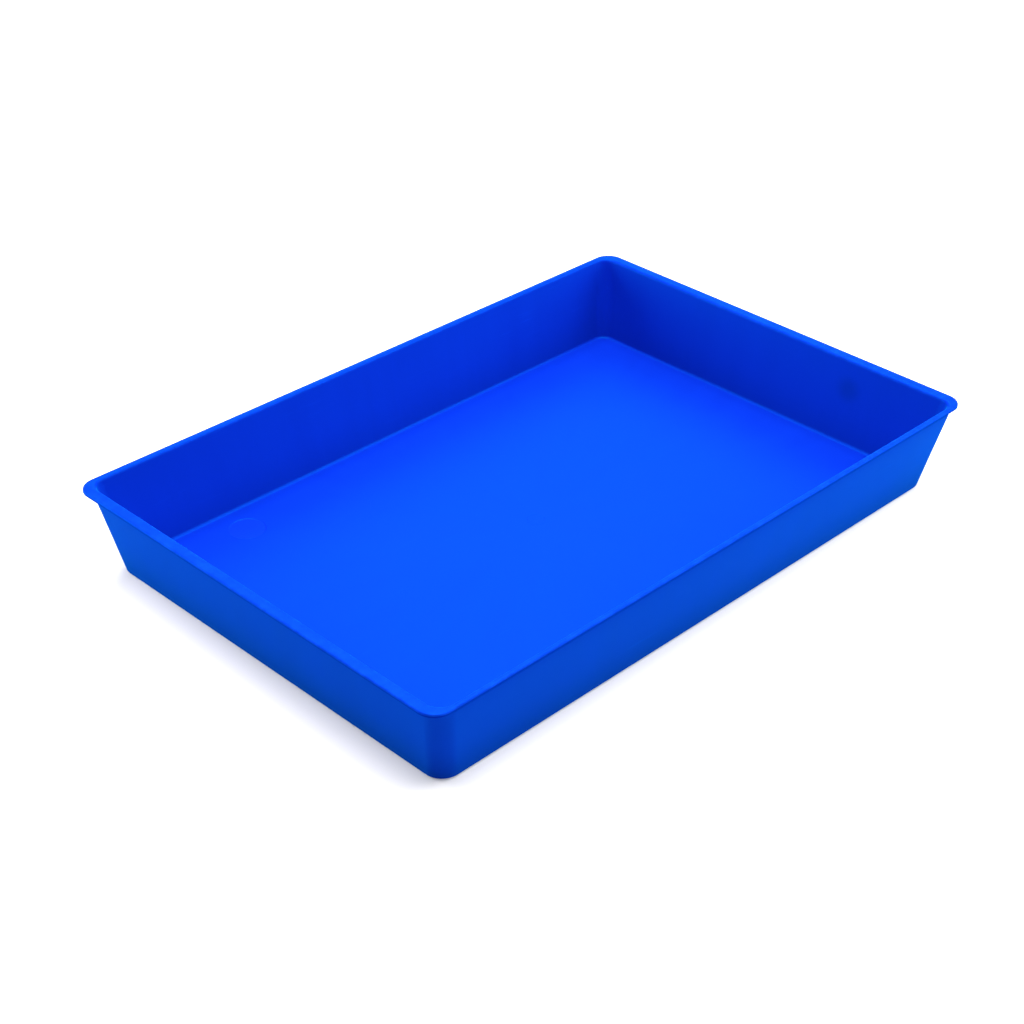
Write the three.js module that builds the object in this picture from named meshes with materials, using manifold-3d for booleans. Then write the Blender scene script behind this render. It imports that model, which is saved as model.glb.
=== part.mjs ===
// A shallow injection-moulded tray, used as a wide mud pan: a flat floor, four walls that
// lean outwards, and a flat rim that overhangs the walls, far on the short ends and barely
// on the long sides. Millimetres, +Z up, +X along the length. The origin is on the underside
// at the middle of the tray.

import * as THREE from 'three';
import { mergeVertices } from 'three/addons/utils/BufferGeometryUtils.js';
import Module from 'manifold-3d';

const wasm = await Module();
wasm.setup();

// Overall sizes.
const LENGTH = 400;
const WIDTH = 267;
const HEIGHT = 51;

// Thicknesses.
const WALL = 2.6;
const FLOOR = 2.6;
const RIM_THICKNESS = 2.0;
const RIM_UNDERSIDE = HEIGHT - RIM_THICKNESS;

// How far the rim stands out past the wall's outer face, at the rim's underside.
const END_OVERHANG = 4.3;
const SIDE_OVERHANG = 1.1;

// The walls lean outwards by this much from upright.
const DRAFT = THREE.MathUtils.degToRad(11);

// Corner radii in plan: of the rim's edge, and of the wall's outer face at every height.
const RIM_CORNER = 10.2;
const WALL_CORNER = 10.6;

// Small roundings.
const BASE_FILLET = 2.0;
const FLOOR_FILLET = 2.0;
const INNER_EDGE = 2.0;
const RIM_TOP_EDGE = 0.9;
const RIM_LOWER_EDGE = 0.4;
const UNDER_RIM_FILLET = 0.3;

// A round mould insert leaves a shallow disc in the floor, near one corner.
const INSERT_RADIUS = 10;
const INSERT_DEPTH = 0.2;
const INSERT_FROM_END = 82.5;
const INSERT_FROM_SIDE = 31.8;

// The plastic came in at the middle of the underside. The stub that it left stands in a well,
// so that it stays clear of the table, and the floor above has a faint round sink.
const GATE_WELL_RADIUS = 5;
const GATE_WELL_DEPTH = 0.6;
const GATE_STUB_RADIUS = 1.3;
const GATE_STUB_GAP = 0.2;
const SINK_RADIUS = 4.8;
const SINK_DEPTH = 0.15;

// Fineness of the round stretches.
const CORNER_STEPS = 12;
const EDGE_STEPS = 4;
const DISC_STEPS = 48;

const BLUE = 0x0a52f2;

/** Half length and half width of the wall's outer face at a height, were it not rounded. */
function wallFace(z) {
  const lean = (RIM_UNDERSIDE - z) * Math.tan(DRAFT);
  return {
    x: LENGTH / 2 - END_OVERHANG - lean,
    y: WIDTH / 2 - SIDE_OVERHANG - lean,
    corner: WALL_CORNER,
    z,
  };
}

/** A level section moved inwards by a distance measured level, with its corners kept parallel. */
function inset(section, distance) {
  return {
    x: section.x - distance,
    y: section.y - distance,
    corner: section.corner - distance,
    z: section.z,
  };
}

/** Sections along a rounding, from one angle to another about a centre line. */
function rounding(centre, radius, fromAngle, toAngle) {
  const sections = [];
  for (let i = 0; i <= EDGE_STEPS; i += 1) {
    const angle = THREE.MathUtils.lerp(fromAngle, toAngle, i / EDGE_STEPS);
    const section = inset(centre, -radius * Math.cos(angle));
    section.z += radius * Math.sin(angle);
    sections.push(section);
  }
  return sections;
}

/** The centre line of a rounding that touches the wall, set level distance from its outer face. */
function besideWall(z, distance) {
  return inset(wallFace(z), distance);
}

/** The centre line of a rounding at the rim's edge. */
function insideRim(z, distance) {
  return inset({ x: LENGTH / 2, y: WIDTH / 2, corner: RIM_CORNER, z }, distance);
}

/** The tray's sections, from the underside out, up the outside, over the rim and down inside. */
function traySections() {
  const level = 1 / Math.cos(DRAFT);
  const down = -Math.PI / 2;
  const up = Math.PI / 2;
  const innerFace = WALL * level;
  return [
    ...rounding(besideWall(BASE_FILLET, BASE_FILLET * level), BASE_FILLET, down, -DRAFT),
    ...rounding(
      besideWall(RIM_UNDERSIDE - UNDER_RIM_FILLET, -UNDER_RIM_FILLET * level),
      UNDER_RIM_FILLET,
      Math.PI - DRAFT,
      up,
    ),
    ...rounding(insideRim(RIM_UNDERSIDE + RIM_LOWER_EDGE, RIM_LOWER_EDGE), RIM_LOWER_EDGE, down, 0),
    ...rounding(insideRim(HEIGHT - RIM_TOP_EDGE, RIM_TOP_EDGE), RIM_TOP_EDGE, 0, up),
    ...rounding(
      besideWall(HEIGHT - INNER_EDGE, innerFace - INNER_EDGE * level),
      INNER_EDGE,
      up,
      Math.PI - DRAFT,
    ),
    ...rounding(
      besideWall(FLOOR + FLOOR_FILLET, innerFace + FLOOR_FILLET * level),
      FLOOR_FILLET,
      -DRAFT,
      down,
    ),
  ];
}

/** The outline of one section, a rectangle with round corners, as a ring of points. */
function outline({ x, y, corner }) {
  const shape = new THREE.Shape();
  const quarter = Math.PI / 2;
  shape.absarc(x - corner, y - corner, corner, 0, quarter);
  shape.absarc(corner - x, y - corner, corner, quarter, 2 * quarter);
  shape.absarc(corner - x, corner - y, corner, 2 * quarter, 3 * quarter);
  shape.absarc(x - corner, corner - y, corner, 3 * quarter, 4 * quarter);
  const points = shape.getPoints(CORNER_STEPS / 2);
  points.pop();
  return points;
}

/** A closed skin over the sections, with a flat cap on the first and on the last. */
function skin(sections) {
  const rings = sections.map(outline);
  const count = rings[0].length;
  const positions = [];
  const faces = [];
  rings.forEach((ring, level) => {
    ring.forEach((point) => positions.push(point.x, point.y, sections[level].z));
  });
  for (let level = 0; level + 1 < rings.length; level += 1) {
    for (let i = 0; i < count; i += 1) {
      const a = level * count + i;
      const b = level * count + ((i + 1) % count);
      faces.push(a, b, b + count);
      faces.push(a, b + count, a + count);
    }
  }
  const lastRing = (rings.length - 1) * count;
  THREE.ShapeUtils.triangulateShape(rings[0], []).forEach(([a, b, c]) => faces.push(a, c, b));
  THREE.ShapeUtils.triangulateShape(rings.at(-1), []).forEach(([a, b, c]) => {
    faces.push(lastRing + a, lastRing + b, lastRing + c);
  });
  const geometry = new THREE.BufferGeometry();
  geometry.setAttribute('position', new THREE.Float32BufferAttribute(positions, 3));
  geometry.setIndex(faces);
  return geometry;
}

/** An upright disc between two heights. */
function disc(radius, bottom, top, x = 0, y = 0) {
  const geometry = new THREE.CylinderGeometry(radius, radius, top - bottom, DISC_STEPS);
  geometry.rotateX(Math.PI / 2);
  geometry.translate(x, y, (bottom + top) / 2);
  return geometry;
}

/** A three.js geometry as a solid that can be cut and joined. */
function solid(geometry) {
  const bare = geometry.clone();
  bare.deleteAttribute('normal');
  bare.deleteAttribute('uv');
  const merged = mergeVertices(bare);
  return new wasm.Manifold(new wasm.Mesh({
    numProp: 3,
    vertProperties: new Float32Array(merged.attributes.position.array),
    triVerts: new Uint32Array(merged.index.array),
  }));
}

/** A cut solid back as a three.js geometry. */
function geometryOf(body) {
  const mesh = body.getMesh();
  const geometry = new THREE.BufferGeometry();
  geometry.setAttribute('position', new THREE.BufferAttribute(mesh.vertProperties, 3));
  geometry.setIndex(new THREE.BufferAttribute(mesh.triVerts, 1));
  geometry.computeVertexNormals();
  return geometry;
}

/** The tray's one moulding, with the marks that its mould leaves. */
function trayGeometry() {
  const insertMark = disc(
    INSERT_RADIUS,
    FLOOR - INSERT_DEPTH,
    HEIGHT,
    INSERT_FROM_END - LENGTH / 2,
    WIDTH / 2 - INSERT_FROM_SIDE,
  );
  const sink = disc(SINK_RADIUS, FLOOR - SINK_DEPTH, HEIGHT);
  const gateWell = disc(GATE_WELL_RADIUS, -FLOOR, GATE_WELL_DEPTH);
  const gateStub = disc(GATE_STUB_RADIUS, GATE_STUB_GAP, FLOOR / 2);
  const moulding = solid(skin(traySections()))
    .subtract(solid(insertMark))
    .subtract(solid(sink))
    .subtract(solid(gateWell))
    .add(solid(gateStub));
  return geometryOf(moulding);
}

const polypropylene = new THREE.MeshStandardMaterial({ color: BLUE, roughness: 0.38, metalness: 0 });

const tray = new THREE.Mesh(trayGeometry(), polypropylene);
tray.name = 'tray';

const mudPan = new THREE.Group();
mudPan.add(tray);

export default mudPan;
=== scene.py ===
"""A mud pan: a wide shallow tray, injection-moulded in blue polypropylene, on a plain stage.

The layout is a Blender add-on's, and the file is run as a script. Lengths are metres and +Z
is up. The origin is on the underside, at the middle of the tray, and +X runs along it.
"""

import math
from typing import NamedTuple

import bpy
from mathutils import Matrix, Vector


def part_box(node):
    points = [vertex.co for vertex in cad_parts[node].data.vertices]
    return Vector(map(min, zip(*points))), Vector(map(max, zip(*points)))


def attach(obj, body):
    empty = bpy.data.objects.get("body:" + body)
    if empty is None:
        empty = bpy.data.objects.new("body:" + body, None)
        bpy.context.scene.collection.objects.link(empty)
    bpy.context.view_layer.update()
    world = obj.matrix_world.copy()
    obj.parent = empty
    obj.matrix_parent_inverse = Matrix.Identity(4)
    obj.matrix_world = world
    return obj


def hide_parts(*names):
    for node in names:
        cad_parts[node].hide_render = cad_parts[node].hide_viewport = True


bl_info = {
    "name": "Mud pan",
    "version": (1, 0, 0),
    "blender": (4, 5, 0),
    "location": "3D View > Sidebar > Mud pan",
    "description": "Builds a moulded mud pan and the stage that it stands on",
    "category": "Object",
}

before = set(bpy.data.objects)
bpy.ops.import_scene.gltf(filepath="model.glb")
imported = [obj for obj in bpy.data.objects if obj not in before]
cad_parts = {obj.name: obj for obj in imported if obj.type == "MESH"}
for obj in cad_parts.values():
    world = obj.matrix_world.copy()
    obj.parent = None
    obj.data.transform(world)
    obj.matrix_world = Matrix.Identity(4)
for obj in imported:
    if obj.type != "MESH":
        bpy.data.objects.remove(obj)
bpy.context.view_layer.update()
TRAY_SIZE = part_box("tray")[1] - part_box("tray")[0]

MM = 0.001

# Fineness of the tray's surface.
CORNER_STEPS = 24
EDGE_STEPS = 10
ROUNDING_STEPS = 8
STEP_STEPS = 8
WELD = 0.002 * MM

# A plastic's gloss is white, but this one's reads as blue as the plastic. So the plain gloss is
# turned far down, and a tinted one, by its share of red, green and blue, stands in for it.
POLYPROPYLENE_IOR = 1.49
GLOSS_LEVEL = 0.0005
GLOSS = (0.0, 0.016, 0.024)

# A waxy bloom brightens faces that are seen aslant. Its tint leaves red out too.
SHEEN = 0.3
SHEEN_ROUGHNESS = 0.35
SHEEN_TINT = (0.0, 0.63, 0.63, 1.0)

# Satin gloss, from where the plastic flowed evenly to where it swirled, and what is added to it
# by full scuffing, on the polished insert, and under the lip.
ROUGHNESS = (0.45, 0.51)
SCUFF_ROUGHNESS = 0.25
INSERT_ROUGHNESS = -0.1
LIP_ROUGHNESS = 0.4

# How much lighter the insert (painted light), and how much darker the spot on the end wall and the
# walls' foot (painted shade), are than the open surface, and how far the flow changes it.
INSERT_PAINTED_LIGHT = 0.3
DARK_SPOT_LIGHT = -0.22
FOOT_SHADE = -0.15
FLOW_LIGHT = (0.975, 1.025)

# The noises' values that count as the least and the most of each pattern.
FLOW_RANGE = (0.3, 0.7)
SCUFF_RANGE = (0.68, 0.80)
WEAR_RANGE = (0.45, 0.75)

# Sizes of the plastic's patterns, in millimetres. The real grain and scuffs are a few tenths of
# a millimetre across, and are drawn coarser so that they show.
DRIFT_SIZE = 90
FLOW_SIZE = 70
SCUFF_SIZE = (38, 0.9, 3)
WEAR_SIZE = 6
GRAIN_SIZE = 0.6
WAVE_SIZE = 45

# Heights of the grain and of the slow wave, in millimetres.
GRAIN_HEIGHT = 0.010
WAVE_HEIGHT = 0.22

# How finely the flow lines divide the way round the gate. More gives more and thinner lines.
FLOW_SPOKES = 9.0

# The two ways that scuffs run, turned from the tray's length, and how much they pale it.
SCUFF_WAYS = (0.35, 2.1)
SCUFF_STRENGTH = 0.16
WEAR_STRENGTH = 0.5

# The walls start to darken at this height above the table, in millimetres. Faces steeper than
# the first rise, the upward share of their normal, count as wall, and flatter than the second
# do not.
FOOT_HEIGHT = 26.0
WALL_RISE = 0.3
FLAT_RISE = 0.7

# How far the shade under the lip reaches down the wall, and how fast it ends on the lip's face.
LIP_REACH = 1.6 * MM
LIP_FADE = 0.1 * MM

# A faint round darker spot on the inside of the end wall, in millimetres.
DARK_SPOT_PLACE = (190.1, -63.0, 34.0)
DARK_SPOT_RADIUS = 6.0
DARK_SPOT_SOFT = 9.0

# How soft the edge of the mould insert's paler disc is, in millimetres.
INSERT_SOFT = 0.8

# How wide the soft steps round the insert's mark, the sink and the gate's marks are.
INSERT_STEP = 0.8 * MM
SINK_STEP = 1.0 * MM
GATE_STEP = 0.25 * MM

# The stage floor lies this far below the tray, so that the two faces never share a plane, and
# reaches this far each way.
FLOOR_GAP = 0.3 * MM
FLOOR_REACH = 30.0

# The stage floor glows a little near the tray, and fully beyond the lights' reach.
NEAR_GLOW = 0.25
GLOW_FROM = 0.55
GLOW_FULL = 1.2

# Width of the camera's sensor, in millimetres.
SENSOR = 36

# Straight stretches get a ring this far from each rounding, which keeps their shading flat.
GUARD = 0.4 * MM


class TraySizes(bpy.types.PropertyGroup):
    """The tray's sizes."""

    length: bpy.props.FloatProperty(
        name="Length",
        description="Length over the rim",
        default=TRAY_SIZE.x,
        precision=4,
        unit="LENGTH",
    )
    width: bpy.props.FloatProperty(
        name="Width",
        description="Width over the rim",
        default=TRAY_SIZE.y,
        precision=4,
        unit="LENGTH",
    )
    height: bpy.props.FloatProperty(
        name="Height",
        description="Height from the underside to the top of the rim",
        default=TRAY_SIZE.z,
        precision=4,
        unit="LENGTH",
    )
    wall: bpy.props.FloatProperty(
        name="Wall",
        description="Thickness of the walls",
        default=2.6 * MM,
        precision=4,
        unit="LENGTH",
    )
    floor: bpy.props.FloatProperty(
        name="Floor",
        description="Thickness of the floor",
        default=2.6 * MM,
        precision=4,
        unit="LENGTH",
    )
    rim: bpy.props.FloatProperty(
        name="Rim",
        description="Thickness of the rim",
        default=2.0 * MM,
        precision=4,
        unit="LENGTH",
    )
    end_overhang: bpy.props.FloatProperty(
        name="End overhang",
        description="How far the rim stands out past the short walls",
        default=4.3 * MM,
        precision=4,
        unit="LENGTH",
    )
    side_overhang: bpy.props.FloatProperty(
        name="Side overhang",
        description="How far the rim stands out past the long walls",
        default=1.1 * MM,
        precision=4,
        unit="LENGTH",
    )
    draft: bpy.props.FloatProperty(
        name="Draft",
        description="How far the walls lean outwards from upright",
        default=math.radians(11),
        subtype="ANGLE",
        unit="ROTATION",
    )
    rim_corner: bpy.props.FloatProperty(
        name="Rim corner",
        description="Radius of the rim's corners in plan",
        default=10.2 * MM,
        precision=4,
        unit="LENGTH",
    )
    wall_corner: bpy.props.FloatProperty(
        name="Wall corner",
        description="Radius of the walls' outer corners in plan",
        default=10.6 * MM,
        precision=4,
        unit="LENGTH",
    )
    base_fillet: bpy.props.FloatProperty(
        name="Base fillet",
        description="Radius where the walls meet the underside",
        default=2.0 * MM,
        precision=4,
        unit="LENGTH",
    )
    floor_fillet: bpy.props.FloatProperty(
        name="Floor fillet",
        description="Radius where the walls meet the floor",
        default=2.0 * MM,
        precision=4,
        unit="LENGTH",
    )
    inner_edge: bpy.props.FloatProperty(
        name="Inner edge",
        description="Radius where the rim turns down into the tray",
        default=2.0 * MM,
        precision=4,
        unit="LENGTH",
    )
    rim_top_edge: bpy.props.FloatProperty(
        name="Rim edge, top",
        description="Radius of the rim's upper outer edge",
        default=0.9 * MM,
        precision=4,
        unit="LENGTH",
    )
    rim_lower_edge: bpy.props.FloatProperty(
        name="Rim edge, lower",
        description="Radius of the rim's lower outer edge",
        default=0.4 * MM,
        precision=4,
        unit="LENGTH",
    )
    under_rim_fillet: bpy.props.FloatProperty(
        name="Under the rim",
        description="Radius where the walls meet the rim's underside",
        default=0.3 * MM,
        precision=4,
        unit="LENGTH",
    )


class MarkSizes(bpy.types.PropertyGroup):
    """The marks that the mould leaves on the tray."""

    insert_radius: bpy.props.FloatProperty(
        name="Insert radius",
        description="Radius of the round mould insert's mark in the floor",
        default=10.0 * MM,
        precision=4,
        unit="LENGTH",
    )
    insert_depth: bpy.props.FloatProperty(
        name="Insert depth",
        description="Depth of the insert's mark",
        default=0.2 * MM,
        precision=5,
        unit="LENGTH",
    )
    insert_from_end: bpy.props.FloatProperty(
        name="Insert from the end",
        description="From the end of the rim to the middle of the insert's mark",
        default=82.5 * MM,
        precision=4,
        unit="LENGTH",
    )
    insert_from_side: bpy.props.FloatProperty(
        name="Insert from the side",
        description="From the side of the rim to the middle of the insert's mark",
        default=31.8 * MM,
        precision=4,
        unit="LENGTH",
    )
    sink_radius: bpy.props.FloatProperty(
        name="Sink radius",
        description="Radius of the faint sink in the floor over the gate",
        default=4.8 * MM,
        precision=4,
        unit="LENGTH",
    )
    sink_depth: bpy.props.FloatProperty(
        name="Sink depth",
        description="Depth of the sink",
        default=0.15 * MM,
        precision=5,
        unit="LENGTH",
    )
    well_radius: bpy.props.FloatProperty(
        name="Gate well radius",
        description="Radius of the well round the gate's stub, in the underside",
        default=5.0 * MM,
        precision=4,
        unit="LENGTH",
    )
    well_depth: bpy.props.FloatProperty(
        name="Gate well depth",
        description="Depth of the well",
        default=0.6 * MM,
        precision=5,
        unit="LENGTH",
    )
    stub_radius: bpy.props.FloatProperty(
        name="Gate stub radius",
        description="Radius of the stub that the gate leaves",
        default=1.3 * MM,
        precision=4,
        unit="LENGTH",
    )
    stub_gap: bpy.props.FloatProperty(
        name="Gate stub gap",
        description="From the table up to the stub",
        default=0.2 * MM,
        precision=5,
        unit="LENGTH",
    )


class StageSettings(bpy.types.PropertyGroup):
    """The stage's colours, light and camera."""

    floor_colour: bpy.props.StringProperty(
        name="Floor colour",
        description="sRGB hex colour of the stage's floor",
        default="E2E2E2",
    )
    sky_strength: bpy.props.FloatProperty(
        name="Sky strength",
        description="Strength of the even light from all round",
        default=0.12,
    )
    softbox_power: bpy.props.FloatProperty(
        name="Softbox power",
        description="Scales the power of every softbox",
        default=1.0,
    )
    azimuth: bpy.props.FloatProperty(
        name="Camera azimuth",
        description="Direction the camera stands in, turned from the front",
        default=math.radians(-45.28),
        subtype="ANGLE",
        unit="ROTATION",
    )
    elevation: bpy.props.FloatProperty(
        name="Camera elevation",
        description="Angle of the camera above the table",
        default=math.radians(32.55),
        subtype="ANGLE",
        unit="ROTATION",
    )
    roll: bpy.props.FloatProperty(
        name="Camera roll",
        description="Turn of the camera about its own line of sight",
        default=math.radians(0.52),
        subtype="ANGLE",
        unit="ROTATION",
    )
    distance: bpy.props.FloatProperty(
        name="Camera distance",
        description="From the camera to the point that it looks at",
        default=1.0687,
        unit="LENGTH",
    )
    aim: bpy.props.FloatVectorProperty(
        name="Camera aim",
        description="Point that the camera looks at",
        default=(-10.53 * MM, 7.89 * MM, 8.26 * MM),
        subtype="XYZ",
        unit="LENGTH",
    )
    lens: bpy.props.FloatProperty(
        name="Lens",
        description="Focal length in millimetres on a 36 mm sensor",
        default=69.63,
    )


class PlasticColours(bpy.types.PropertyGroup):
    """The plastic's colours, as sRGB hex values."""

    body: bpy.props.StringProperty(
        name="Blue",
        description="sRGB hex colour of the plastic",
        default="051EA6",
    )
    deep: bpy.props.StringProperty(
        name="Deep blue",
        description="sRGB hex colour where the pigment lies thicker",
        default="041C9E",
    )
    lip_shade: bpy.props.StringProperty(
        name="Groove colour",
        description="sRGB hex colour of the plastic in the shade under the lip",
        default="010C92",
    )
    scuffed: bpy.props.StringProperty(
        name="Scuffed blue",
        description="sRGB hex colour of the plastic where it is rubbed",
        default="0B3CC8",
    )


class Softbox(NamedTuple):
    """A square studio light that faces the tray, placed by the camera's bearing."""

    name: str
    across: float
    beyond: float
    height: float
    size: float
    power: float


SOFTBOXES = (
    Softbox("overhead", 0.0, 0.0, 1.7, 1.6, 82.0),
    Softbox("left", -0.75, 0.05, 0.22, 0.36, 5.3),
    Softbox("right", 0.95, 0.25, 0.5, 0.8, 11.5),
    Softbox("right_front", 0.85, -0.25, 0.35, 0.5, 3.2),
    Softbox("behind", 0.0, 1.3, 1.0, 0.9, 16.0),
)


class Section(NamedTuple):
    """A level section of the tray: a rectangle with round corners, by its half sizes.

    Edge says how much of it lies on an edge that gets rubbed, and lip how much lies in the shade
    of the lip, each from 0 to 1.
    """

    x: float
    y: float
    corner: float
    z: float
    edge: float = 0.0
    lip: float = 0.0


def linear_colour(hex_colour):
    """An sRGB hex colour as linear RGBA."""
    channels = [int(hex_colour[i : i + 2], 16) / 255 for i in (0, 2, 4)]
    return (
        *(c / 12.92 if c <= 0.04045 else ((c + 0.055) / 1.055) ** 2.4 for c in channels),
        1.0,
    )


def add_node(tree, kind, inputs=None, **settings):
    """Adds a node with its settings, and fills its inputs with values or links."""
    made = tree.nodes.new(kind)
    for name, value in settings.items():
        setattr(made, name, value)
    for key, value in (inputs or {}).items():
        if isinstance(value, bpy.types.NodeSocket):
            tree.links.new(value, made.inputs[key])
        else:
            made.inputs[key].default_value = value
    return made


def mix_steps(first, last, steps):
    """Numbers evenly spaced from first to last, both included."""
    return [first + (last - first) * i / steps for i in range(steps + 1)]


def wall_face(sizes, z):
    """The section of the walls' outer face at a height, were it not rounded."""
    lean = (sizes.height - sizes.rim - z) * math.tan(sizes.draft)
    return Section(
        sizes.length / 2 - sizes.end_overhang - lean,
        sizes.width / 2 - sizes.side_overhang - lean,
        sizes.wall_corner,
        z,
    )


def inset(section, distance):
    """A section moved inwards, its corners kept parallel."""
    return section._replace(
        x=section.x - distance,
        y=section.y - distance,
        corner=section.corner - distance,
    )


def rounding(centre, radius, first, last, edge=0.0, lip=0.0):
    """Sections along a rounding, from one angle to another about a centre line."""
    sections = []
    for angle in mix_steps(first, last, ROUNDING_STEPS):
        section = inset(centre, -radius * math.cos(angle))
        z = section.z + radius * math.sin(angle)
        sections.append(section._replace(z=z, edge=edge, lip=lip))
    return sections


def guarded(stretches):
    """Joins roundings with straight stretches, with a ring close to each end of a stretch."""
    joined = list(stretches[0])
    for stretch in stretches[1:]:
        start, end = joined[-1], stretch[0]
        run = math.dist((start.x, start.y, start.z), (end.x, end.y, end.z))
        share = min(GUARD / run, 0.25)
        edge, lip = min(start.edge, end.edge), min(start.lip, end.lip)
        for part in (share, 0.5, 1 - share):
            between = Section(*(a + (b - a) * part for a, b in zip(start, end)))
            joined.append(between._replace(edge=edge, lip=lip))
        joined.extend(stretch)
    return joined


def tray_sections(sizes):
    """Sections of the tray's skin: underside, outside, rim, inside, and the edge of the floor."""
    level = 1 / math.cos(sizes.draft)
    down, up = -math.pi / 2, math.pi / 2
    inner_face = sizes.wall * level
    rim_underside = sizes.height - sizes.rim
    rim_edge = Section(sizes.length / 2, sizes.width / 2, sizes.rim_corner, 0)

    def beside_wall(z, distance):
        return inset(wall_face(sizes, z), distance)

    def inside_rim(z, distance):
        return inset(rim_edge._replace(z=z), distance)

    base = rounding(
        beside_wall(sizes.base_fillet, sizes.base_fillet * level),
        sizes.base_fillet,
        down,
        -sizes.draft,
        edge=0.8,
    )
    under_rim = rounding(
        beside_wall(rim_underside - sizes.under_rim_fillet, -sizes.under_rim_fillet * level),
        sizes.under_rim_fillet,
        math.pi - sizes.draft,
        up,
        lip=1.0,
    )
    lip_foot = beside_wall(rim_underside - LIP_REACH, 0)._replace(lip=1.0)
    lower_edge = rounding(
        inside_rim(rim_underside + sizes.rim_lower_edge, sizes.rim_lower_edge),
        sizes.rim_lower_edge,
        down,
        0,
        edge=0.4,
        lip=1.0,
    )
    lip_face = inside_rim(sizes.height - sizes.rim_top_edge - LIP_FADE, 0)._replace(lip=1.0)
    top_edge = rounding(
        inside_rim(sizes.height - sizes.rim_top_edge, sizes.rim_top_edge),
        sizes.rim_top_edge,
        0,
        up,
        edge=1.0,
    )
    inner_edge = rounding(
        beside_wall(sizes.height - sizes.inner_edge, inner_face - sizes.inner_edge * level),
        sizes.inner_edge,
        up,
        math.pi - sizes.draft,
        edge=0.6,
    )
    floor = rounding(
        beside_wall(sizes.floor + sizes.floor_fillet, inner_face + sizes.floor_fillet * level),
        sizes.floor_fillet,
        -sizes.draft,
        down,
    )
    skin = guarded(
        [base, [lip_foot], under_rim, lower_edge, [lip_face], top_edge, inner_edge, floor]
    )
    return [inset(skin[0], GUARD), *skin, inset(skin[-1], GUARD)]


def round_step(radius, width, first, last):
    """Round sections over a soft step at a radius, from one height to another."""
    sections = []
    for share in mix_steps(0, 1, STEP_STEPS):
        r = radius + width * (0.5 - share)
        eased = share * share * (3 - 2 * share)
        sections.append(Section(r, r, r, first + (last - first) * eased))
    return sections


def recess(radius, width, level, depth):
    """Round sections of a shallow recess in the floor, from outside it to its middle."""
    step = round_step(radius, width, level, level - depth)
    return [
        inset(step[0], -GUARD),
        *step,
        inset(step[-1], GUARD),
        Section(0, 0, 0, level - depth),
    ]


def gate_well(marks):
    """Round sections of the gate's stub and its well in the underside, from the middle out."""
    stub = round_step(marks.stub_radius, -GATE_STEP, marks.stub_gap, marks.well_depth)
    well = round_step(marks.well_radius, -GATE_STEP, marks.well_depth, 0)
    return [
        Section(0, 0, 0, marks.stub_gap),
        inset(stub[0], GUARD),
        *stub,
        inset(stub[-1], -GUARD),
        inset(well[0], GUARD),
        *well,
        inset(well[-1], -GUARD),
    ]


def section_ladder(name, runs):
    """A mesh of loose points, one for each section of each run, that the loft reads."""
    mesh = bpy.data.meshes.new(name)
    points, shapes, zones = [], [], []
    for number, ((x, y), sections) in enumerate(runs):
        for section in sections:
            points.append((x, y, section.z))
            shapes.append((section.x, section.y, section.corner))
            zones.append((section.edge, section.lip, number))
    mesh.from_pydata(points, [], [])
    for attribute_name, vectors in (("shape", shapes), ("zone", zones)):
        attribute = mesh.attributes.new(attribute_name, "FLOAT_VECTOR", "POINT")
        for item, vector in zip(attribute.data, vectors):
            item.vector = vector
    return mesh


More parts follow.
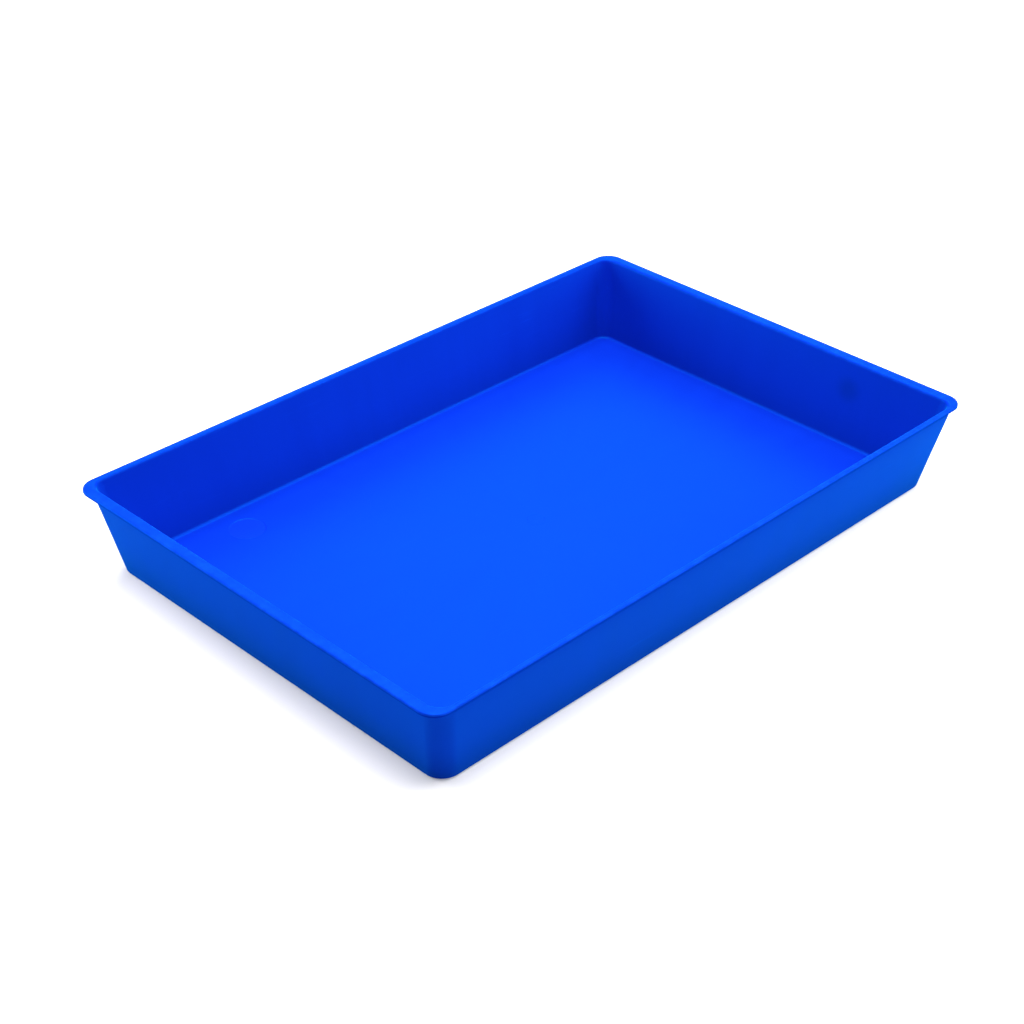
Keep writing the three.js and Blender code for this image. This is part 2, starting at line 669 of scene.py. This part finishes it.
def loft_tree():
    """Geometry nodes that carry each section round its path and close the flats between them."""
    tree = bpy.data.node_groups.new("tray_loft", "GeometryNodeTree")
    face = tree.interface
    face.new_socket("Geometry", in_out="INPUT", socket_type="NodeSocketGeometry")
    face.new_socket("Corner Steps", in_out="INPUT", socket_type="NodeSocketInt")
    face.new_socket("Edge Steps", in_out="INPUT", socket_type="NodeSocketInt")
    face.new_socket("Floor Level", in_out="INPUT", socket_type="NodeSocketFloat")
    face.new_socket("Weld Distance", in_out="INPUT", socket_type="NodeSocketFloat")
    face.new_socket("Material", in_out="INPUT", socket_type="NodeSocketMaterial")
    face.new_socket("Geometry", in_out="OUTPUT", socket_type="NodeSocketGeometry")

    given = add_node(tree, "NodeGroupInput").outputs
    ladder = given["Geometry"]
    quarter_turn = math.pi / 2

    # A flat grid: a column for each step round the tray, and a row for each section.
    rows = add_node(
        tree, "GeometryNodeAttributeDomainSize", {"Geometry": ladder}, component="MESH"
    ).outputs["Point Count"]
    period = add_node(
        tree,
        "ShaderNodeMath",
        {0: given["Corner Steps"], 1: given["Edge Steps"]},
        operation="ADD",
    ).outputs[0]
    around = add_node(tree, "ShaderNodeMath", {0: period, 1: 4.0}, operation="MULTIPLY")
    columns = add_node(
        tree, "ShaderNodeMath", {0: around.outputs[0], 1: 1.0}, operation="ADD"
    )
    grid = add_node(
        tree,
        "GeometryNodeMeshGrid",
        {"Vertices X": columns.outputs[0], "Vertices Y": rows},
    )

    # Each point's column and row.
    index = add_node(tree, "GeometryNodeInputIndex").outputs[0]
    shared = add_node(tree, "ShaderNodeMath", {0: index, 1: rows}, operation="DIVIDE")
    column = add_node(tree, "ShaderNodeMath", {0: shared.outputs[0]}, operation="FLOOR")
    before = add_node(
        tree, "ShaderNodeMath", {0: column.outputs[0], 1: rows}, operation="MULTIPLY"
    )
    row = add_node(
        tree, "ShaderNodeMath", {0: index, 1: before.outputs[0]}, operation="SUBTRACT"
    )

    # Which quarter the column is in, how far it has turned the corner, how far on along the side.
    quarters = add_node(
        tree, "ShaderNodeMath", {0: column.outputs[0], 1: period}, operation="DIVIDE"
    )
    quarter = add_node(tree, "ShaderNodeMath", {0: quarters.outputs[0]}, operation="FLOOR")
    passed = add_node(
        tree, "ShaderNodeMath", {0: quarter.outputs[0], 1: period}, operation="MULTIPLY"
    )
    step = add_node(
        tree,
        "ShaderNodeMath",
        {0: column.outputs[0], 1: passed.outputs[0]},
        operation="SUBTRACT",
    )
    turned = add_node(
        tree,
        "ShaderNodeMath",
        {0: step.outputs[0], 1: given["Corner Steps"]},
        operation="DIVIDE",
        use_clamp=True,
    )
    past_corner = add_node(
        tree,
        "ShaderNodeMath",
        {0: step.outputs[0], 1: given["Corner Steps"]},
        operation="SUBTRACT",
    )
    along = add_node(
        tree,
        "ShaderNodeMath",
        {0: past_corner.outputs[0], 1: given["Edge Steps"]},
        operation="DIVIDE",
        use_clamp=True,
    )

    # The row's section: its middle and height, its half sizes, its corner, and its run.
    place = add_node(
        tree,
        "GeometryNodeSampleIndex",
        {
            "Geometry": ladder,
            "Value": add_node(tree, "GeometryNodeInputPosition").outputs[0],
            "Index": row.outputs[0],
        },
        data_type="FLOAT_VECTOR",
    )
    shape = add_node(
        tree,
        "GeometryNodeSampleIndex",
        {
            "Geometry": ladder,
            "Value": add_node(
                tree,
                "GeometryNodeInputNamedAttribute",
                {"Name": "shape"},
                data_type="FLOAT_VECTOR",
            ).outputs["Attribute"],
            "Index": row.outputs[0],
        },
        data_type="FLOAT_VECTOR",
    )
    zone_field = add_node(
        tree,
        "GeometryNodeInputNamedAttribute",
        {"Name": "zone"},
        data_type="FLOAT_VECTOR",
    ).outputs["Attribute"]
    zone = add_node(
        tree,
        "GeometryNodeSampleIndex",
        {"Geometry": ladder, "Value": zone_field, "Index": row.outputs[0]},
        data_type="FLOAT_VECTOR",
    )
    half = add_node(tree, "ShaderNodeSeparateXYZ", {0: shape.outputs[0]})
    corner = half.outputs["Z"]

    # The middle of the corner's arc moves along the side, and the arc's spoke turns the corner.
    span = add_node(
        tree,
        "ShaderNodeVectorMath",
        {0: shape.outputs[0], 1: corner},
        operation="SUBTRACT",
    )
    way = add_node(
        tree,
        "ShaderNodeMath",
        {0: along.outputs[0], 1: -2.0, 2: 1.0},
        operation="MULTIPLY_ADD",
    )
    toward = add_node(tree, "ShaderNodeCombineXYZ", {"X": way.outputs[0], "Y": 1.0})
    quarter_angle = add_node(
        tree,
        "ShaderNodeMath",
        {0: quarter.outputs[0], 1: quarter_turn},
        operation="MULTIPLY",
    )
    side = add_node(
        tree,
        "ShaderNodeVectorRotate",
        {"Vector": toward.outputs[0], "Angle": quarter_angle.outputs[0]},
        rotation_type="Z_AXIS",
    )
    middle = add_node(
        tree,
        "ShaderNodeVectorMath",
        {0: side.outputs[0], 1: span.outputs[0], 2: place.outputs[0]},
        operation="MULTIPLY_ADD",
    )
    spoke_angle = add_node(
        tree,
        "ShaderNodeMath",
        {0: turned.outputs[0], 1: quarter_turn, 2: quarter_angle.outputs[0]},
        operation="MULTIPLY_ADD",
    )
    spoke = add_node(
        tree,
        "ShaderNodeVectorRotate",
        {
            "Vector": add_node(tree, "ShaderNodeCombineXYZ", {"X": corner}).outputs[0],
            "Angle": spoke_angle.outputs[0],
        },
        rotation_type="Z_AXIS",
    )
    point = add_node(
        tree,
        "ShaderNodeVectorMath",
        {0: middle.outputs[0], 1: spoke.outputs[0]},
        operation="ADD",
    )

    # Each run keeps its own faces, and a face from one run to the next is taken away.
    numbered = add_node(
        tree,
        "GeometryNodeStoreNamedAttribute",
        {"Geometry": grid.outputs["Mesh"], "Name": "zone", "Value": zone.outputs[0]},
        data_type="FLOAT_VECTOR",
        domain="POINT",
    )
    placed = add_node(
        tree,
        "GeometryNodeSetPosition",
        {"Geometry": numbered.outputs[0], "Position": point.outputs[0]},
    )
    run = add_node(tree, "ShaderNodeSeparateXYZ", {0: zone_field}).outputs["Z"]
    part = add_node(tree, "ShaderNodeMath", {0: run}, operation="FRACT")
    between_runs = add_node(
        tree,
        "FunctionNodeCompare",
        {"A": part.outputs[0], "B": 0.5, "Epsilon": 0.25},
        data_type="FLOAT",
        operation="EQUAL",
    )
    parted = add_node(
        tree,
        "GeometryNodeDeleteGeometry",
        {"Geometry": placed.outputs[0], "Selection": between_runs.outputs[0]},
        domain="FACE",
    )
    welded = add_node(
        tree,
        "GeometryNodeMergeByDistance",
        {"Geometry": parted.outputs[0], "Distance": given["Weld Distance"]},
    )

    # The open rings at the floor's level and at the underside's bound two flats with holes.
    neighbours = add_node(tree, "GeometryNodeInputMeshEdgeNeighbors").outputs["Face Count"]
    open_edge = add_node(
        tree, "FunctionNodeCompare", {2: neighbours, 3: 1}, data_type="INT", operation="EQUAL"
    )
    height = add_node(
        tree,
        "ShaderNodeSeparateXYZ",
        {0: add_node(tree, "GeometryNodeInputPosition").outputs[0]},
    )
    half_floor = add_node(
        tree, "ShaderNodeMath", {0: given["Floor Level"], 1: 0.5}, operation="MULTIPLY"
    )
    parts = [welded.outputs[0]]
    for operation in ("GREATER_THAN", "LESS_THAN"):
        near = add_node(
            tree,
            "FunctionNodeCompare",
            {"A": height.outputs["Z"], "B": half_floor.outputs[0]},
            data_type="FLOAT",
            operation=operation,
        )
        bound = add_node(
            tree,
            "FunctionNodeBooleanMath",
            {0: open_edge.outputs[0], 1: near.outputs[0]},
            operation="AND",
        )
        rings = add_node(
            tree,
            "GeometryNodeMeshToCurve",
            {"Mesh": welded.outputs[0], "Selection": bound.outputs[0]},
        )
        flat = add_node(tree, "GeometryNodeFillCurve", {"Curve": rings.outputs[0]})
        parts.append(flat.outputs[0])
    lift = add_node(tree, "ShaderNodeCombineXYZ", {"Z": given["Floor Level"]})
    parts[1] = add_node(
        tree, "GeometryNodeSetPosition", {"Geometry": parts[1], "Offset": lift.outputs[0]}
    ).outputs[0]
    parts[2] = add_node(tree, "GeometryNodeFlipFaces", {0: parts[2]}).outputs[0]
    joined = add_node(tree, "GeometryNodeJoinGeometry")
    for geometry in parts:
        tree.links.new(geometry, joined.inputs[0])
    closed = add_node(
        tree,
        "GeometryNodeMergeByDistance",
        {"Geometry": joined.outputs[0], "Distance": given["Weld Distance"]},
    )
    smooth = add_node(
        tree, "GeometryNodeSetShadeSmooth", {"Geometry": closed.outputs[0], "Shade Smooth": True}
    )
    real = add_node(tree, "GeometryNodeRealizeInstances", {0: smooth.outputs[0]})
    finished = add_node(
        tree,
        "GeometryNodeSetMaterial",
        {"Geometry": real.outputs[0], "Material": given["Material"]},
    )
    add_node(tree, "NodeGroupOutput", {"Geometry": finished.outputs[0]})
    return tree


def apply_tree(name, mesh, tree, values):
    """Runs a tree on a mesh, its inputs given by name, and returns the result as a plain object."""
    carrier = bpy.data.objects.new(name + "_sections", mesh)
    bpy.context.scene.collection.objects.link(carrier)
    modifier = carrier.modifiers.new("Nodes", "NODES")
    modifier.node_group = tree
    for socket in tree.interface.items_tree:
        if socket.in_out == "INPUT" and socket.name in values:
            modifier[socket.identifier] = values[socket.name]
    depsgraph = bpy.context.evaluated_depsgraph_get()
    made = bpy.data.meshes.new_from_object(carrier.evaluated_get(depsgraph), depsgraph=depsgraph)
    bpy.data.objects.remove(carrier)
    made.materials.clear()
    made.materials.append(values["Material"])
    made.name = name
    piece = bpy.data.objects.new(name, made)
    bpy.context.scene.collection.objects.link(piece)
    return piece


def moulded_polypropylene(colours, sizes, marks):
    """Polypropylene, injection-moulded against a satin mould.

    It is a deep even blue with a soft satin gloss. Close to, the mould's grain breaks the gloss
    up, broad flow lines spread from the gate, and rubbed edges turn paler. A faint waxy bloom
    shows on faces that are seen aslant.
    """
    material = bpy.data.materials.new("moulded_polypropylene")
    material.use_nodes = True
    tree = material.node_tree
    tree.nodes.clear()

    # Object coordinates in millimetres, so that every scale below is a real size.
    place = add_node(
        tree,
        "ShaderNodeVectorMath",
        {0: add_node(tree, "ShaderNodeTexCoord").outputs["Object"], "Scale": 1 / MM},
        operation="SCALE",
    ).outputs[0]

    # The pigment's depth drifts slowly.
    drift = add_node(
        tree,
        "ShaderNodeTexNoise",
        {"Vector": place, "Scale": 1 / DRIFT_SIZE, "Detail": 2.0, "Roughness": 0.5},
    ).outputs["Fac"]
    blue = add_node(
        tree,
        "ShaderNodeMix",
        {0: drift, 6: linear_colour(colours.deep), 7: linear_colour(colours.body)},
        data_type="RGBA",
    ).outputs[2]

    # The edge and lip weights of the loft's sections.
    zone = add_node(
        tree,
        "ShaderNodeSeparateXYZ",
        {0: add_node(tree, "ShaderNodeAttribute", attribute_name="zone").outputs["Vector"]},
    ).outputs

    normal = add_node(tree, "ShaderNodeNewGeometry").outputs["Normal"]

    # Painted light: the mould insert's polished face is drawn paler, standing in for the brighter
    # light off it. A faint spot on the end wall is drawn darker. Both are discs about a point, in
    # millimetres, on the face that looks one way.
    insert_place = (
        (marks.insert_from_end - sizes.length / 2) / MM,
        (sizes.width / 2 - marks.insert_from_side) / MM,
        sizes.floor / MM,
    )
    discs = []
    for centre, radius, soft, way in (
        (insert_place, marks.insert_radius / MM, INSERT_SOFT, (0.0, 0.0, 1.0)),
        (DARK_SPOT_PLACE, DARK_SPOT_RADIUS, DARK_SPOT_SOFT, (-1.0, 0.0, 0.0)),
    ):
        distance = add_node(
            tree, "ShaderNodeVectorMath", {0: place, 1: centre}, operation="DISTANCE"
        ).outputs["Value"]
        inside = add_node(
            tree,
            "ShaderNodeMapRange",
            {
                "Value": distance,
                "From Min": radius + soft / 2,
                "From Max": radius - soft / 2,
            },
            interpolation_type="SMOOTHSTEP",
        ).outputs[0]
        towards = add_node(
            tree, "ShaderNodeVectorMath", {0: normal, 1: way}, operation="DOT_PRODUCT"
        ).outputs["Value"]
        facing = add_node(
            tree, "ShaderNodeMath", {0: towards, 1: 0.5}, operation="GREATER_THAN"
        ).outputs[0]
        discs.append(
            add_node(
                tree, "ShaderNodeMath", {0: inside, 1: facing}, operation="MULTIPLY"
            ).outputs[0]
        )

    # Flow lines run out from the gate: noise that changes fast round the gate, slowly outwards.
    flat_place = add_node(
        tree, "ShaderNodeVectorMath", {0: place, 1: (1.0, 1.0, 0.0)}, operation="MULTIPLY"
    ).outputs[0]
    bearing = add_node(
        tree, "ShaderNodeVectorMath", {0: flat_place}, operation="NORMALIZE"
    ).outputs[0]
    spread = add_node(
        tree, "ShaderNodeVectorMath", {0: bearing, "Scale": FLOW_SPOKES}, operation="SCALE"
    ).outputs[0]
    reach = add_node(
        tree, "ShaderNodeVectorMath", {0: flat_place, "Scale": 1 / FLOW_SIZE}, operation="SCALE"
    ).outputs[0]
    flow_place = add_node(
        tree, "ShaderNodeVectorMath", {0: spread, 1: reach}, operation="ADD"
    ).outputs[0]
    flow = add_node(
        tree,
        "ShaderNodeTexNoise",
        {"Vector": flow_place, "Scale": 1.0, "Detail": 3.0, "Roughness": 0.55},
    ).outputs["Fac"]

    # Handling leaves fine scuffs, a few centimetres long, in two crossing directions.
    scuff_scale = tuple(1 / size for size in SCUFF_SIZE)
    scuffs = []
    for angle in SCUFF_WAYS:
        along = add_node(
            tree,
            "ShaderNodeMapping",
            {"Vector": place, "Rotation": (0.0, 0.0, angle), "Scale": scuff_scale},
        ).outputs[0]
        streak = add_node(
            tree,
            "ShaderNodeTexNoise",
            {"Vector": along, "Scale": 1.0, "Detail": 2.0, "Roughness": 0.6},
        ).outputs["Fac"]
        scuffs.append(
            add_node(
                tree,
                "ShaderNodeMapRange",
                {"Value": streak, "From Min": SCUFF_RANGE[0], "From Max": SCUFF_RANGE[1]},
            ).outputs[0]
        )
    scuff = add_node(
        tree, "ShaderNodeMath", {0: scuffs[0], 1: scuffs[1]}, operation="MAXIMUM"
    ).outputs[0]

    # Rubbing pales the edges in patches.
    patches = add_node(
        tree,
        "ShaderNodeTexNoise",
        {"Vector": place, "Scale": 1 / WEAR_SIZE, "Detail": 3.0, "Roughness": 0.6},
    ).outputs["Fac"]
    worn_patch = add_node(
        tree,
        "ShaderNodeMapRange",
        {
            "Value": patches,
            "From Min": WEAR_RANGE[0],
            "From Max": WEAR_RANGE[1],
            "To Max": WEAR_STRENGTH,
        },
    ).outputs[0]
    worn = add_node(
        tree, "ShaderNodeMath", {0: worn_patch, 1: zone["X"]}, operation="MULTIPLY"
    ).outputs[0]
    pale = add_node(
        tree, "ShaderNodeMath", {0: scuff, 1: SCUFF_STRENGTH, 2: worn}, operation="MULTIPLY_ADD"
    ).outputs[0]
    rubbed = add_node(
        tree,
        "ShaderNodeMix",
        {0: pale, 6: blue, 7: linear_colour(colours.scuffed)},
        data_type="RGBA",
    ).outputs[2]

    # Painted shade: the walls darken a little towards their foot.
    rise = add_node(tree, "ShaderNodeSeparateXYZ", {0: normal}).outputs["Z"]
    level = add_node(tree, "ShaderNodeMath", {0: rise}, operation="ABSOLUTE").outputs[0]
    upright = add_node(
        tree,
        "ShaderNodeMapRange",
        {"Value": level, "From Min": FLAT_RISE, "From Max": WALL_RISE},
    ).outputs[0]
    height = add_node(tree, "ShaderNodeSeparateXYZ", {0: place}).outputs["Z"]
    low = add_node(
        tree,
        "ShaderNodeMapRange",
        {"Value": height, "From Min": FOOT_HEIGHT, "From Max": 0.0},
        interpolation_type="SMOOTHSTEP",
    ).outputs[0]
    foot = add_node(
        tree, "ShaderNodeMath", {0: upright, 1: low}, operation="MULTIPLY"
    ).outputs[0]

    # Painted shade under the lip: there the colour is mixed towards a deeper, darker blue.
    painted_lip_shade = add_node(
        tree,
        "ShaderNodeMix",
        {0: zone["Y"], 6: rubbed, 7: linear_colour(colours.lip_shade)},
        data_type="RGBA",
    ).outputs[2]

    # How light each zone is beside the open surface: the flow, the insert's painted light, the dark
    # spot, the foot's painted shade.
    light = add_node(
        tree,
        "ShaderNodeMapRange",
        {
            "Value": flow,
            "From Min": FLOW_RANGE[0],
            "From Max": FLOW_RANGE[1],
            "To Min": FLOW_LIGHT[0],
            "To Max": FLOW_LIGHT[1],
        },
    ).outputs[0]
    for amount, change in (
        (discs[0], INSERT_PAINTED_LIGHT),
        (discs[1], DARK_SPOT_LIGHT),
        (foot, FOOT_SHADE),
    ):
        factor = add_node(
            tree, "ShaderNodeMath", {0: amount, 1: change, 2: 1.0}, operation="MULTIPLY_ADD"
        ).outputs[0]
        light = add_node(
            tree, "ShaderNodeMath", {0: light, 1: factor}, operation="MULTIPLY"
        ).outputs[0]
    colour = add_node(
        tree, "ShaderNodeVectorMath", {0: painted_lip_shade, "Scale": light}, operation="SCALE"
    ).outputs[0]

    # Satin gloss: uneven with the flow, duller where scuffed, sharper on the polished insert.
    flow_roughness = add_node(
        tree,
        "ShaderNodeMapRange",
        {
            "Value": flow,
            "From Min": FLOW_RANGE[0],
            "From Max": FLOW_RANGE[1],
            "To Min": ROUGHNESS[0],
            "To Max": ROUGHNESS[1],
        },
    ).outputs[0]
    roughness = flow_roughness
    for amount, change in (
        (pale, SCUFF_ROUGHNESS),
        (discs[0], INSERT_ROUGHNESS),
        (zone["Y"], LIP_ROUGHNESS),
    ):
        roughness = add_node(
            tree,
            "ShaderNodeMath",
            {0: amount, 1: change, 2: roughness},
            operation="MULTIPLY_ADD",
            use_clamp=True,
        ).outputs[0]

    # The mould's grain, and a slow wave that the walls and floor take as they cool.
    grain = add_node(
        tree,
        "ShaderNodeTexNoise",
        {"Vector": place, "Scale": 1 / GRAIN_SIZE, "Detail": 2.0, "Roughness": 0.6},
    ).outputs["Fac"]
    wave = add_node(
        tree,
        "ShaderNodeTexNoise",
        {"Vector": place, "Scale": 1 / WAVE_SIZE, "Detail": 1.0, "Roughness": 0.4},
    ).outputs["Fac"]
    grain_height = add_node(
        tree, "ShaderNodeMath", {0: grain, 1: GRAIN_HEIGHT}, operation="MULTIPLY"
    ).outputs[0]
    relief = add_node(
        tree,
        "ShaderNodeMath",
        {0: wave, 1: WAVE_HEIGHT, 2: grain_height},
        operation="MULTIPLY_ADD",
    ).outputs[0]
    bump = add_node(
        tree, "ShaderNodeBump", {"Height": relief, "Distance": MM, "Strength": 1.0}
    ).outputs[0]

    plain_gloss = 2 * GLOSS_LEVEL * ((POLYPROPYLENE_IOR - 1) / (POLYPROPYLENE_IOR + 1)) ** 2
    shader = add_node(
        tree,
        "ShaderNodeBsdfPrincipled",
        {
            "Base Color": colour,
            "Roughness": roughness,
            "IOR": POLYPROPYLENE_IOR,
            "Specular IOR Level": GLOSS_LEVEL,
            "Specular Tint": tuple(share / plain_gloss for share in GLOSS) + (1.0,),
            "Sheen Weight": SHEEN,
            "Sheen Roughness": SHEEN_ROUGHNESS,
            "Sheen Tint": SHEEN_TINT,
            "Normal": bump,
        },
    )
    add_node(tree, "ShaderNodeOutputMaterial", {"Surface": shader.outputs[0]})
    return material


def painted_board(colour):
    """White painted board: a matt, even ground, which glows where the lights don't reach."""
    material = bpy.data.materials.new("painted_board")
    material.use_nodes = True
    tree = material.node_tree
    tree.nodes.clear()
    board = add_node(
        tree,
        "ShaderNodeBsdfPrincipled",
        {"Base Color": linear_colour(colour), "Roughness": 0.9, "Specular IOR Level": 0.2},
    )
    distance = add_node(
        tree,
        "ShaderNodeVectorMath",
        {0: add_node(tree, "ShaderNodeTexCoord").outputs["Object"]},
        operation="LENGTH",
    ).outputs["Value"]
    far = add_node(
        tree,
        "ShaderNodeMapRange",
        {"Value": distance, "From Min": GLOW_FROM, "From Max": GLOW_FULL, "To Min": NEAR_GLOW},
        interpolation_type="SMOOTHSTEP",
    ).outputs[0]
    glow = add_node(tree, "ShaderNodeEmission", {"Color": (1.0, 1.0, 1.0, 1.0), "Strength": 1.0})
    ground = add_node(
        tree, "ShaderNodeMixShader", {0: far, 1: board.outputs[0], 2: glow.outputs[0]}
    )
    # The board is clear from beneath, so that the tray's underside can be looked at.
    sheet = add_node(
        tree,
        "ShaderNodeMixShader",
        {
            0: add_node(tree, "ShaderNodeNewGeometry").outputs["Backfacing"],
            1: ground.outputs[0],
            2: add_node(tree, "ShaderNodeBsdfTransparent").outputs[0],
        },
    )
    add_node(tree, "ShaderNodeOutputMaterial", {"Surface": sheet.outputs[0]})
    return material


class MUDPAN_OT_tray(bpy.types.Operator):
    """Builds the moulded tray with the marks that its mould leaves"""

    bl_idname = "mudpan.tray"
    bl_label = "Tray"

    def execute(self, context):
        scene = context.scene
        sizes, marks = scene.mud_pan_sizes, scene.mud_pan_marks
        insert_place = (
            marks.insert_from_end - sizes.length / 2,
            sizes.width / 2 - marks.insert_from_side,
        )
        runs = [
            ((0, 0), tray_sections(sizes)),
            (
                insert_place,
                recess(marks.insert_radius, INSERT_STEP, sizes.floor, marks.insert_depth),
            ),
            ((0, 0), recess(marks.sink_radius, SINK_STEP, sizes.floor, marks.sink_depth)),
            ((0, 0), gate_well(marks)),
        ]
        material = moulded_polypropylene(scene.mud_pan_colours, sizes, marks)
        tray = apply_tree(
            "moulded_tray",
            section_ladder("moulded_tray_sections", runs),
            loft_tree(),
            {
                "Corner Steps": CORNER_STEPS,
                "Edge Steps": EDGE_STEPS,
                "Floor Level": sizes.floor,
                "Weld Distance": WELD,
                "Material": material,
            },
        )
        if not tray.data.polygons:
            raise RuntimeError("the loft gave no faces")
        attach(tray, "root")
        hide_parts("tray")
        return {"FINISHED"}


class MUDPAN_OT_stage(bpy.types.Operator):
    """Builds the floor, the lights and the camera"""

    bl_idname = "mudpan.stage"
    bl_label = "Stage"

    def execute(self, context):
        scene = context.scene
        stage = scene.mud_pan_stage
        scene.view_settings.view_transform = "Standard"

        ground = bpy.data.meshes.new("stage_floor")
        ground.from_pydata(
            [
                (x * FLOOR_REACH, y * FLOOR_REACH, -FLOOR_GAP)
                for x, y in ((-1, -1), (1, -1), (1, 1), (-1, 1))
            ],
            [],
            [(0, 1, 2, 3)],
        )
        ground.materials.append(painted_board(stage.floor_colour))
        floor = bpy.data.objects.new("stage_floor", ground)
        scene.collection.objects.link(floor)

        world = bpy.data.worlds.new("studio")
        world.use_nodes = True
        world.node_tree.nodes.clear()
        # The backdrop is seen white, and lights the tray only faintly.
        seen = add_node(world.node_tree, "ShaderNodeLightPath").outputs["Is Camera Ray"]
        strength = add_node(
            world.node_tree, "ShaderNodeMix", {0: seen, 2: stage.sky_strength, 3: 1.0}
        ).outputs[0]
        sky = add_node(
            world.node_tree,
            "ShaderNodeBackground",
            {"Color": (1.0, 1.0, 1.0, 1.0), "Strength": strength},
        )
        add_node(world.node_tree, "ShaderNodeOutputWorld", {"Surface": sky.outputs[0]})
        scene.world = world

        across = Vector((math.cos(stage.azimuth), math.sin(stage.azimuth), 0))
        beyond = Vector((-across.y, across.x, 0))
        for softbox in SOFTBOXES:
            lamp = bpy.data.lights.new(softbox.name, "AREA")
            lamp.size = softbox.size
            lamp.energy = softbox.power * stage.softbox_power
            light = bpy.data.objects.new(softbox.name, lamp)
            light.location = across * softbox.across + beyond * softbox.beyond
            light.location.z = softbox.height
            away = light.location - Vector((0, 0, TRAY_SIZE.z / 2))
            light.rotation_euler = away.to_track_quat("Z", "Y").to_euler()
            light.visible_camera = False
            scene.collection.objects.link(light)

        lens = bpy.data.cameras.new("camera")
        lens.sensor_width = SENSOR
        lens.lens = stage.lens
        camera = bpy.data.objects.new("camera", lens)
        turn = (
            Matrix.Rotation(stage.azimuth, 4, "Z")
            @ Matrix.Rotation(math.pi / 2 - stage.elevation, 4, "X")
            @ Matrix.Rotation(stage.roll, 4, "Z")
        )
        back = turn.to_3x3() @ Vector((0, 0, 1))
        camera.matrix_world = (
            Matrix.Translation(Vector(stage.aim) + back * stage.distance) @ turn
        )
        scene.collection.objects.link(camera)
        scene.camera = camera
        return {"FINISHED"}


class MUDPAN_PT_panel(bpy.types.Panel):
    """Lists the pieces, the sizes and the stage"""

    bl_idname = "MUDPAN_PT_panel"
    bl_label = "Mud pan"
    bl_space_type = "VIEW_3D"
    bl_region_type = "UI"
    bl_category = "Mud pan"

    def draw(self, context):
        layout = self.layout
        for operator in OPERATORS:
            layout.operator(operator.bl_idname)
        for name, group in PROPERTY_GROUPS.items():
            box = layout.box()
            settings = getattr(context.scene, name)
            for field in group.__annotations__:
                box.prop(settings, field)


PROPERTY_GROUPS = {
    "mud_pan_sizes": TraySizes,
    "mud_pan_marks": MarkSizes,
    "mud_pan_colours": PlasticColours,
    "mud_pan_stage": StageSettings,
}
OPERATORS = (MUDPAN_OT_tray, MUDPAN_OT_stage)
CLASSES = (*PROPERTY_GROUPS.values(), *OPERATORS, MUDPAN_PT_panel)


def register():
    for made in CLASSES:
        bpy.utils.register_class(made)
    for name, group in PROPERTY_GROUPS.items():
        setattr(bpy.types.Scene, name, bpy.props.PointerProperty(type=group))


def unregister():
    for name in PROPERTY_GROUPS:
        delattr(bpy.types.Scene, name)
    for made in reversed(CLASSES):
        bpy.utils.unregister_class(made)


def main():
    """Builds the mud pan on its stage."""
    register()
    bpy.ops.mudpan.tray()
    bpy.ops.mudpan.stage()


if __name__ == "__main__":
    main()
